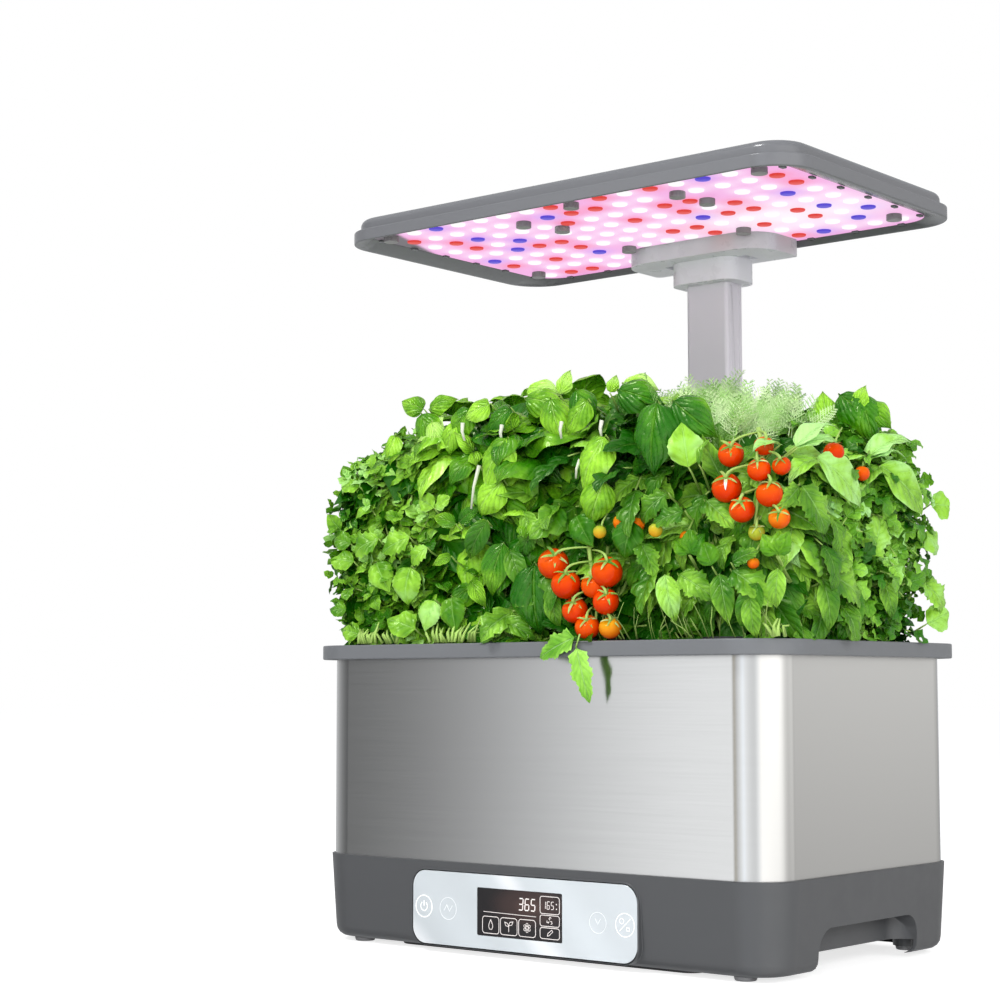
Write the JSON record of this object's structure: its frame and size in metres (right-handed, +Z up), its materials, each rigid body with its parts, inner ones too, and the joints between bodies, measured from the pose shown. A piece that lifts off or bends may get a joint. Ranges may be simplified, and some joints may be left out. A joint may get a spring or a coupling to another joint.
{
  "type": "countertop hydroponic garden",
  "caption": "Steel-clad planter on a grey base with a control panel and hand recesses, a planted deck with tomatoes and herbs, and a flat LED lamp on a telescopic mast.",
  "frame": {"origin": "on the worktop, under the middle of the planter", "axes": "+X to the right as seen from the front, +Y to the back, +Z up"},
  "size_m": [0.4112, 0.2648, 0.524],
  "materials": {
    "base_plastic": "satin",
    "cover_plastic": "matte",
    "rim_plastic": "satin",
    "tank_plastic": "matte",
    "foot_rubber": "matte",
    "screw_steel": "satin",
    "sleeve_steel": "satin",
    "fascia_gloss": "gloss",
    "window_gloss": "gloss",
    "display_body": "matte",
    "circuit_green": "satin",
    "spring_brass": "satin",
    "ribbon_grey": "satin",
    "socket_black": "gloss",
    "lead_black": "matte",
    "basket_black": "matte",
    "sponge_brown": "matte",
    "gauge_clear": "gloss",
    "float_red": "gloss",
    "pump_black": "satin",
    "impeller_white": "satin",
    "shaft_ceramic": "gloss",
    "cup_clear": "gloss",
    "hose_clear": "gloss",
    "mast_outer_plastic": "satin",
    "collar_plastic": "satin",
    "mast_plastic": "satin",
    "glide_nylon": "satin",
    "hub_plastic": "satin",
    "lamp_grey": "satin",
    "board_white": "satin",
    "led_white": "gloss",
    "led_red": "gloss",
    "led_blue": "gloss",
    "standoff_grey": "matte",
    "leaf_mint": "satin",
    "leaf_basil": "gloss",
    "leaf_tomato": "satin",
    "leaf_parsley": "satin",
    "leaf_dill": "matte",
    "leaf_lettuce": "satin",
    "tomato_red": "gloss"
  },
  "bodies": {
    "planter": {"base_housing": "base_plastic", "bottom_cover": "cover_plastic", "feet": "foot_rubber", "housing_screws": "screw_steel", "control_fascia": "fascia_gloss", "display_window": "window_gloss", "display_module": "display_body", "touch_board": "circuit_green", "touch_springs": "spring_brass", "control_board": "circuit_green", "ribbon_cable": "ribbon_grey", "power_socket": "socket_black", "power_lead": "lead_black", "steel_sleeve": "sleeve_steel", "rear_spine": "rim_plastic", "water_tank": "tank_plastic", "grow_deck": "rim_plastic", "grow_baskets": "basket_black", "grow_sponges": "sponge_brown", "fill_lid_pin": "screw_steel", "float_guide": "gauge_clear", "pump_body": "pump_black", "pump_cover": "pump_black", "pump_shaft": "shaft_ceramic", "pump_suction_cups": "cup_clear", "pump_hose": "hose_clear", "pump_grommet": "lead_black", "pump_lead": "lead_black", "mast_outer": "mast_outer_plastic", "mast_collar": "collar_plastic", "lead_socket": "socket_black", "plant_mint_front": "leaf_mint", "plant_basil_front": "leaf_basil", "plant_tomato_front": "leaf_tomato", "plant_tomato_right": "leaf_tomato", "plant_mint_mid": "leaf_mint", "plant_basil_mid": "leaf_basil", "plant_tomato_mid": "leaf_tomato", "plant_parsley_mid": "leaf_parsley", "plant_lettuce_back": "leaf_lettuce", "plant_basil_back": "leaf_basil", "plant_dill_back": "leaf_dill", "plant_parsley_back": "leaf_parsley", "tomato_trusses": "tomato_red"},
    "lamp": {"mast_inner": "mast_plastic", "mast_glides": "glide_nylon", "curly_lead": "lead_black", "lamp_lead": "lead_black", "hub_bracket": "hub_plastic", "hub_screws": "screw_steel", "lamp_bezel": "lamp_grey", "lamp_cover": "lamp_grey", "led_board": "board_white", "led_lenses_white": "led_white", "led_lenses_red": "led_red", "led_lenses_blue": "led_blue", "board_standoffs": "standoff_grey"},
    "fill_lid": {"fill_lid": "rim_plastic"},
    "float": {"float": "float_red"},
    "impeller": {"pump_impeller": "impeller_white"}
  },
  "joints": [
    {"name": "lamp_slide", "type": "slide", "parent": "planter", "child": "lamp", "axis": [0, 0, 1], "range_m": [-0.07, 0.075], "deforming": ["curly_lead"]},
    {"name": "fill_lid_hinge", "type": "hinge", "parent": "planter", "child": "fill_lid", "pos_m": [0.094, 0.113, 0.2102], "axis": [-1, 0, 0], "range_deg": [0, 100]},
    {"name": "float_slide", "type": "slide", "parent": "planter", "child": "float", "axis": [0, 0, 1], "range_m": [0, 0.04]},
    {"name": "impeller_spin", "type": "hinge", "parent": "planter", "child": "impeller", "pos_m": [-0.062, 0.046, 0.0825], "axis": [0, 1, 0], "continuous": true}
  ]
}
